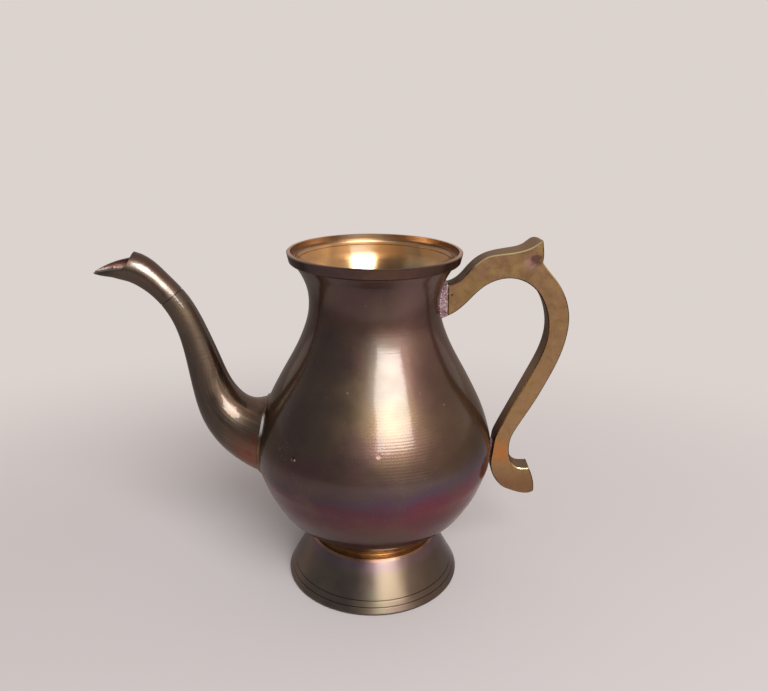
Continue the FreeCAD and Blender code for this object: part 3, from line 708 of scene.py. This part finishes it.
def rings_tree(material):
    """Fine turned rings that climb the collar's hollow face, each at its own radius and height.

    The hollow is round, so the rings stand on a circle at even angles from its lowest point.
    """
    tree, given = new_growth("collar_rings", {
        "Rings": 5,
        "Hollow": 2.4 * MM,
        "Middle radius": 24.4 * MM,
        "Middle height": 20.2 * MM,
        "First angle": 0.42,
        "Angle step": 0.21,
        "Thickness": 0.2 * MM,
    })
    number = add_node(tree, "GeometryNodeInputIndex")
    inputs = {0: number, 1: given["Angle step"], 2: given["First angle"]}
    angle = add_node(tree, "ShaderNodeMath", inputs, operation="MULTIPLY_ADD")
    sine = add_node(tree, "ShaderNodeMath", {0: angle}, operation="SINE")
    cosine = add_node(tree, "ShaderNodeMath", {0: angle}, operation="COSINE")
    inputs = {0: given["Middle radius"], 1: product(tree, sine, given["Hollow"])}
    radius = add_node(tree, "ShaderNodeMath", inputs, operation="SUBTRACT")
    inputs = {0: given["Middle height"], 1: product(tree, cosine, given["Hollow"])}
    height = add_node(tree, "ShaderNodeMath", inputs, operation="SUBTRACT")
    place = add_node(tree, "ShaderNodeCombineXYZ", {"Z": height})
    points = add_node(tree, "GeometryNodePoints", {"Count": given["Rings"], "Position": place})
    inputs = {"Resolution": 160, "Radius": given["Middle radius"]}
    circle = add_node(tree, "GeometryNodeCurvePrimitiveCircle", inputs, output="Curve")
    inputs = {"Resolution": 8, "Radius": given["Thickness"]}
    section = add_node(tree, "GeometryNodeCurvePrimitiveCircle", inputs, output="Curve")
    inputs = {"Curve": circle, "Profile Curve": section}
    ring = add_node(tree, "GeometryNodeCurveToMesh", inputs)
    inputs = {0: radius, 1: given["Middle radius"]}
    share = add_node(tree, "ShaderNodeMath", inputs, operation="DIVIDE")
    inputs = {"Points": points, "Instance": ring, "Scale": share}
    rings = add_node(tree, "GeometryNodeInstanceOnPoints", inputs)
    end_growth(tree, rings, material)
    return tree


def grown_on(name, part, tree, settings):
    """A detail that a node tree makes on one of the solids, as a plain mesh in the pot's box."""
    carrier = new_object(name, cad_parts[part].data.copy())
    # the solid's mesh is loose triangles, so their corners are welded first
    welded = bmesh.new()
    welded.from_mesh(carrier.data)
    bmesh.ops.remove_doubles(welded, verts=welded.verts, dist=0.001 * MM)
    welded.to_mesh(carrier.data)
    welded.free()
    modifier = carrier.modifiers.new("grown", "NODES")
    modifier.node_group = tree
    for item in tree.interface.items_tree:
        if item.name in settings:
            modifier[item.identifier] = settings[item.name]
    graph = bpy.context.evaluated_depsgraph_get()
    mesh = bpy.data.meshes.new_from_object(carrier.evaluated_get(graph))
    carrier.modifiers.clear()
    carrier.data = mesh
    mesh.name = name
    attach(carrier, "root")


def make_floor():
    """A pale painted board that runs out into the backdrop's own tone."""
    half = 6.0
    fade_centre, fade_start, fade_end = (0, -0.15, 0), 0.18, 0.44
    mesh = bpy.data.meshes.new("floor")
    corners = [(-half, -half, 0), (half, -half, 0), (half, half, 0), (-half, half, 0)]
    mesh.from_pydata(corners, [], [(0, 1, 2, 3)])
    material, tree = new_material("pale_painted_board")
    coords = add_node(tree, "ShaderNodeTexCoord", output="Object")
    inputs = {"Base Color": "#b4aeaf", "Roughness": 0.9}
    board = add_node(tree, "ShaderNodeBsdfPrincipled", inputs)
    # the far floor shows the backdrop, and gives the metal a darker tone to mirror
    seen = add_node(tree, "ShaderNodeLightPath", output="Is Camera Ray")
    glow = layered(tree, "#8f8984", [(BACKDROP, 1.0, seen)])
    glow = add_node(tree, "ShaderNodeEmission", {"Color": glow})
    inputs = {0: coords, 1: fade_centre}
    away = add_node(tree, "ShaderNodeVectorMath", inputs, operation="DISTANCE")
    limits = {0: away, 1: fade_start, 2: fade_end}
    far = add_node(tree, "ShaderNodeMapRange", limits, interpolation_type="SMOOTHSTEP")
    both = add_node(tree, "ShaderNodeMixShader", {0: far, 1: board, 2: glow})
    add_node(tree, "ShaderNodeOutputMaterial", {"Surface": both})
    mesh.materials.append(material)
    new_object("floor", mesh)


def make_window(azimuth, elevation, distance, width, height, power, colour):
    """A soft box that faces the pot; azimuth 0 is on the camera's side, positive to the right."""
    turn, rise = math.radians(azimuth), math.radians(elevation)
    level = math.cos(rise)
    out = Vector((math.sin(turn) * level, -math.cos(turn) * level, math.sin(rise)))
    light = bpy.data.lights.new("window", "AREA")
    light.shape = "RECTANGLE"
    light.size = width
    light.size_y = height
    light.energy = power
    light.color = hex_colour(colour)[:3]
    lamp = new_object("window", light)
    lamp.location = Vector((0, 0, RIM_TOP / 2)) + out * distance
    lamp.rotation_euler = (-out).to_track_quat("-Z", "Y").to_euler()


def make_room():
    """Light of the room: dim and cool in front on the left, pale behind, warm on the right."""
    world = bpy.data.worlds.new("room")
    world.use_nodes = True
    tree = world.node_tree
    tree.nodes.clear()
    way = add_node(tree, "ShaderNodeTexCoord", output="Generated")
    x = add_node(tree, "ShaderNodeSeparateXYZ", {"Vector": way})
    y, z = x.node.outputs["Y"], x.node.outputs["Z"]
    tone = layered(tree, "#7e848c", [
        ("#d8c5b7", 1.0, band(tree, x, 0.7, 1.0, 0.8, 1.0)),
        ("#dcd3ce", 1.0, band(tree, y, 0.6, 1.0, 0.6, 1.0)),
        ("#c6bfb8", 1.0, band(tree, z, 0.9, 1.0, 0.55, 1.0)),
        (BACKDROP, 1.0, add_node(tree, "ShaderNodeLightPath", output="Is Camera Ray")),
    ])
    background = add_node(tree, "ShaderNodeBackground", {"Color": tone, "Strength": 1.0})
    add_node(tree, "ShaderNodeOutputWorld", {"Surface": background})
    bpy.context.scene.world = world


def make_camera():
    """The camera of the photo."""
    data = bpy.data.cameras.new("photo_camera")
    data.sensor_width = SENSOR_WIDTH
    data.lens = FOCAL_PIXELS / PHOTO_WIDTH * SENSOR_WIDTH
    data.clip_start = 0.01
    camera = new_object("photo_camera", data)
    tilt = Matrix.Rotation(math.pi / 2 - CAMERA_PITCH, 4, "X")
    roll = Matrix.Rotation(CAMERA_ROLL, 4, "Z")
    camera.matrix_world = Matrix.Translation(CAMERA_PLACE) @ tilt @ roll
    bpy.context.scene.camera = camera


solder = grey_solder()
braze = brazing_brass()
FINISHES = (
    (spun_brass_body(), ("body_upper_shell", "body_lower_bowl")),
    (turned_rim_brass(), ("rim_ring",)),
    (turned_foot_brass(), ("foot_skirt",)),
    (filed_spout_brass(), ("spout_lower_tube", "spout_beak")),
    (cast_handle_brass(), ("handle",)),
    (solder, ("handle_neck_braze", "handle_belly_braze")),
    (braze, ("spout_root_braze", "foot_braze", "body_seam_braze")),
)
for finish, parts in FINISHES:
    for part in parts:
        dress(part, finish)

grains = grains_tree(solder)
rings = rings_tree(braze)
grown_on("neck_solder_grains", "handle_neck_braze", grains,
         {"Largest": 0.34 * MM})
grown_on("belly_solder_grains", "handle_belly_braze", grains,
         {"Largest": 0.24 * MM})
grown_on("collar_rings", "foot_braze", rings,
         {"Middle height": FOOT_TOP + 2.3 * MM})

make_camera()
make_room()
make_floor()
make_window(azimuth=23.3, elevation=35.8, distance=1.2, width=0.76, height=0.68,
            power=23, colour="#fafaf9")
bpy.context.scene.view_settings.view_transform = "Standard"
